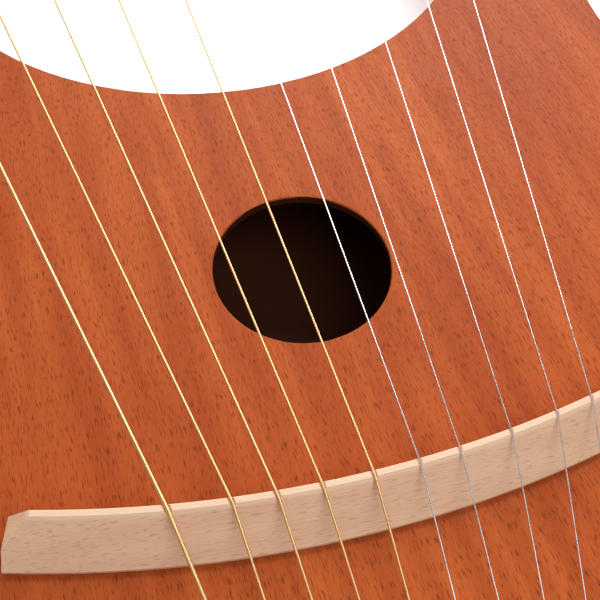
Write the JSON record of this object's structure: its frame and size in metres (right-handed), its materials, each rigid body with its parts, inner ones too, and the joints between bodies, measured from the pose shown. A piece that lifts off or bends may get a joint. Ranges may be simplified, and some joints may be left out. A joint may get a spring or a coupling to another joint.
{
  "type": "lyre harp",
  "caption": "Hollow wooden lyre harp with two arms, a slanted yoke with tuning pins, a round sound hole, a curved bridge and metal strings.",
  "frame": {"origin": "on the flat back, under the centre of the sound hole", "axes": "+X to the treble strings, +Y from the tail to the yoke, +Z out of the soundboard"},
  "size_m": [0.2707, 0.3452, 0.0543],
  "materials": {
    "mahogany": "satin lacquer",
    "mahogany_core": "satin lacquer",
    "beech": "oiled",
    "spruce": "bare",
    "bronze": "wound wire",
    "steel": "plain wire",
    "nickel": "nickel plated"
  },
  "bodies": {
    "frame": {"soundboard": "mahogany", "back_plate": "mahogany", "yoke": "mahogany", "bass_side": "mahogany_core", "treble_side": "mahogany_core", "tail_block": "mahogany_core", "shoulder_block": "mahogany_core", "upper_brace": "spruce", "lower_brace": "spruce", "back_brace": "spruce", "bridge_plate": "beech", "bridge": "beech", "nut": "beech", "bass_dowel_1": "beech", "bass_dowel_2": "beech", "treble_dowel_1": "beech", "treble_dowel_2": "beech", "string_01": "bronze", "string_02": "bronze", "string_03": "bronze", "string_04": "bronze", "string_05": "bronze", "string_06": "steel", "string_07": "steel", "string_08": "steel", "string_09": "steel", "string_10": "steel"},
    "pin_01": {"tuning_pin_01": "nickel"},
    "pin_02": {"tuning_pin_02": "nickel"},
    "pin_03": {"tuning_pin_03": "nickel"},
    "pin_04": {"tuning_pin_04": "nickel"},
    "pin_05": {"tuning_pin_05": "nickel"},
    "pin_06": {"tuning_pin_06": "nickel"},
    "pin_07": {"tuning_pin_07": "nickel"},
    "pin_08": {"tuning_pin_08": "nickel"},
    "pin_09": {"tuning_pin_09": "nickel"},
    "pin_10": {"tuning_pin_10": "nickel"}
  },
  "joints": [
    {"name": "tune_01", "type": "hinge", "parent": "frame", "child": "pin_01", "pos_m": [-0.11387, 0.21811, 0.033], "axis": [0, 0, 1], "continuous": true},
    {"name": "tune_02", "type": "hinge", "parent": "frame", "child": "pin_02", "pos_m": [-0.08994, 0.21423, 0.033], "axis": [0, 0, 1], "continuous": true},
    {"name": "tune_03", "type": "hinge", "parent": "frame", "child": "pin_03", "pos_m": [-0.0681, 0.21068, 0.033], "axis": [0, 0, 1], "continuous": true},
    {"name": "tune_04", "type": "hinge", "parent": "frame", "child": "pin_04", "pos_m": [-0.04517, 0.20698, 0.033], "axis": [0, 0, 1], "continuous": true},
    {"name": "tune_05", "type": "hinge", "parent": "frame", "child": "pin_05", "pos_m": [-0.02173, 0.20317, 0.033], "axis": [0, 0, 1], "continuous": true},
    {"name": "tune_06", "type": "hinge", "parent": "frame", "child": "pin_06", "pos_m": [0.00168, 0.19941, 0.033], "axis": [0, 0, 1], "continuous": true},
    {"name": "tune_07", "type": "hinge", "parent": "frame", "child": "pin_07", "pos_m": [0.0233, 0.19592, 0.033], "axis": [0, 0, 1], "continuous": true},
    {"name": "tune_08", "type": "hinge", "parent": "frame", "child": "pin_08", "pos_m": [0.04579, 0.19227, 0.033], "axis": [0, 0, 1], "continuous": true},
    {"name": "tune_09", "type": "hinge", "parent": "frame", "child": "pin_09", "pos_m": [0.06517, 0.18912, 0.033], "axis": [0, 0, 1], "continuous": true},
    {"name": "tune_10", "type": "hinge", "parent": "frame", "child": "pin_10", "pos_m": [0.08272, 0.18628, 0.033], "axis": [0, 0, 1], "continuous": true}
  ]
}
